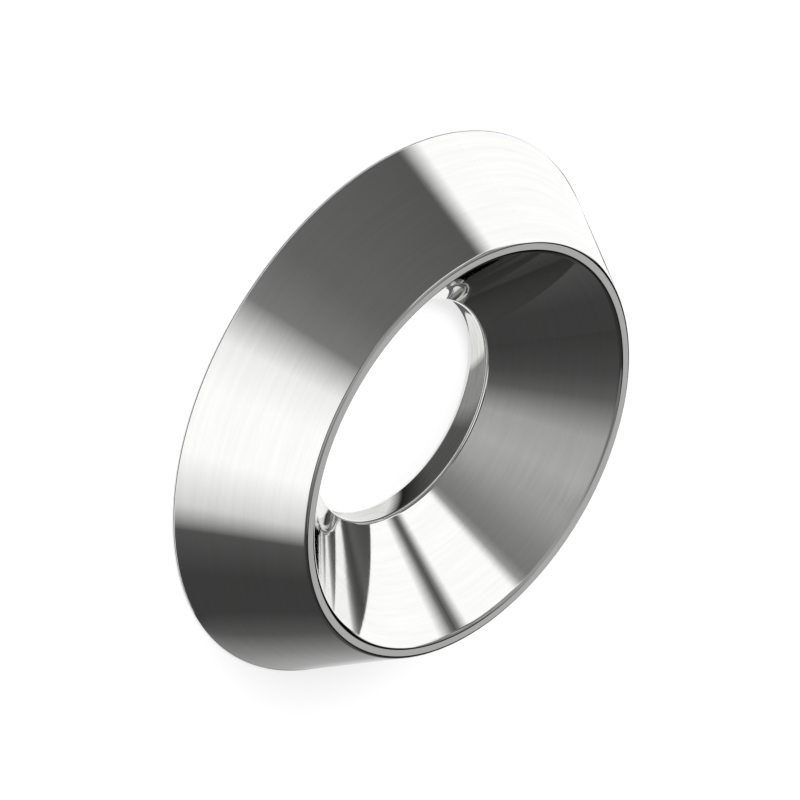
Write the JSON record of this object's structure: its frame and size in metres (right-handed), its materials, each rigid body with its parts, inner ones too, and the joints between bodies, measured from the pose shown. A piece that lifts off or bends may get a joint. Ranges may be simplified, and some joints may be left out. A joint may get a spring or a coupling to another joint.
{
  "type": "finishing cup washer",
  "caption": "Solid turned cup washer: a conical ring with a flat base, a narrow flat crown and a countersunk seat that takes the head of a countersunk screw and finishes the hole.",
  "frame": {"origin": "centre of the base face, on the axis of the bore", "axes": "+Z along the axis of the bore, from the base face towards the crown; X and Y are free, because the washer is the same all round"},
  "size_m": [0.0153, 0.0154, 0.0032],
  "materials": {
    "washer_steel": "stainless steel, turned all over and buffed to a mirror"
  },
  "bodies": {
    "root": {"cup_washer": "washer_steel"}
  },
  "joints": []
}
